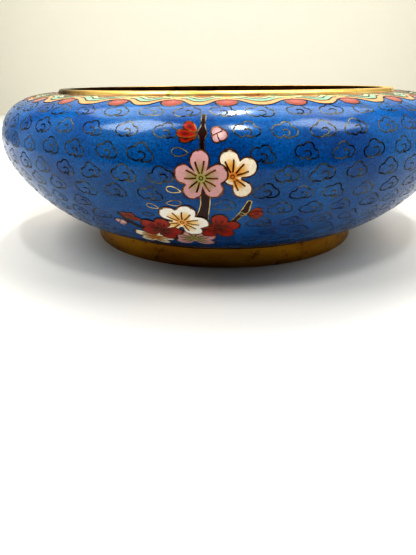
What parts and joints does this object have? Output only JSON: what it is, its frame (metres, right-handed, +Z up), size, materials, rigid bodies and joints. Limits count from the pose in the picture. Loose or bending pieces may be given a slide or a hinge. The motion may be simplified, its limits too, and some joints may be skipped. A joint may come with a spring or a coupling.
{
  "type": "cloisonne bowl",
  "caption": "Wide low enamelled copper bowl with a turned-in mouth, a flat brass band round the mouth and a brass foot ring.",
  "frame": {"origin": "on the table under the middle of the bowl, where its axis meets the foot ring's lowest plane", "axes": "+Z up along the bowl's axis; -Y is the side with the main blossom spray"},
  "size_m": [0.23, 0.23, 0.076],
  "materials": {
    "blue_enamel": "polished vitreous enamel between fine brass wires, fused on copper",
    "rim_brass": "worn gilt brass, polished flat on top, dull at the side",
    "foot_brass": "aged brass with olive brown patina and spots",
    "petal_enamel": "polished vitreous enamel, cell colours of pink, cream, red, mint and peach",
    "cell_wire": "fine brass wire, ground flush and tarnished dark"
  },
  "bodies": {
    "root": {"bowl_body": "blue_enamel", "rim_band": "rim_brass", "foot_ring": "foot_brass"}
  },
  "joints": []
}
